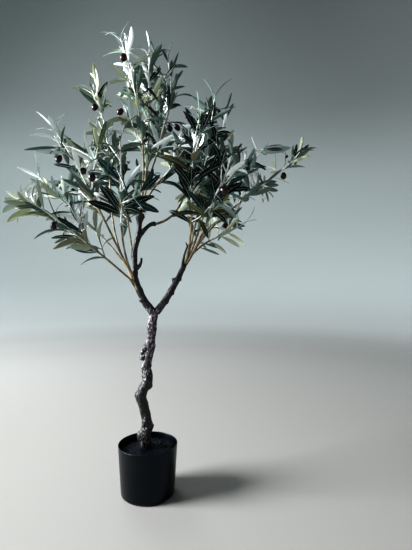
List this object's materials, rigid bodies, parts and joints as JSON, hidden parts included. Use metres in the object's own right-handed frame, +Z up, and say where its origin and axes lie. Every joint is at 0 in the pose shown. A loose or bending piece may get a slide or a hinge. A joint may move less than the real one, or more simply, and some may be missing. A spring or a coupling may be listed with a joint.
{
  "type": "artificial olive tree in a pot",
  "caption": "Artificial olive tree with a dark moulded trunk that forks into two boughs, thin tan stems with narrow leaves and a few olives, set in a plain round black pot.",
  "frame": {"origin": "centre of the pot's flat underside", "axes": "+Z up along the tree, +X to the right and +Y away, as seen from the front, with the longer lower boughs to the left and right"},
  "size_m": [0.8535, 0.4462, 1.2173],
  "materials": {
    "pot": "satin black moulded plastic with a faint blue cast and fine scuffs",
    "filling": "rough black coarse filling that weights the pot",
    "bark": "dark brown moulded bark with ridges, knots and grey highlights",
    "stems": "tan plastic-coated wire stems with small nodes",
    "leaves": "printed fabric leaves, dark green above and pale grey-green below"
  },
  "bodies": {
    "root": {"bough_left": "bark", "bough_right": "bark", "leader_lower": "bark", "leader_upper": "bark", "leaves_back_left": "leaves", "leaves_back_middle": "leaves", "leaves_back_right": "leaves", "leaves_centre": "leaves", "leaves_crest_right": "leaves", "leaves_far_right": "leaves", "leaves_far_right_high": "leaves", "leaves_far_right_low": "leaves", "leaves_forward_right": "leaves", "leaves_front_left": "leaves", "leaves_front_right": "leaves", "leaves_left": "leaves", "leaves_left_low": "leaves", "leaves_low_left": "leaves", "leaves_low_right": "leaves", "leaves_middle_right": "leaves", "leaves_outer_right": "leaves", "leaves_outer_right_high": "leaves", "leaves_tall_left": "leaves", "leaves_tall_left_side": "leaves", "leaves_tall_right": "leaves", "leaves_top": "leaves", "leaves_top_fork_left": "leaves", "leaves_top_fork_right": "leaves", "leaves_top_middle": "leaves", "leaves_top_right": "leaves", "leaves_upper_left": "leaves", "leaves_upper_left_side": "leaves", "pot": "pot", "pot_filling": "filling", "side_branch": "bark", "stem_back_left": "stems", "stem_back_middle": "stems", "stem_back_right": "stems", "stem_centre": "stems", "stem_far_right": "stems", "stem_forward_right": "stems", "stem_front_left": "stems", "stem_front_right": "stems", "stem_left": "stems", "stem_low_left": "stems", "stem_low_right": "stems", "stem_middle_right": "stems", "stem_outer_right": "stems", "stem_tall_left": "stems", "stem_tall_right": "stems", "stem_top": "stems", "stem_top_middle": "stems", "stem_top_right": "stems", "stem_upper_left": "stems", "trunk": "bark"}
  },
  "joints": []
}
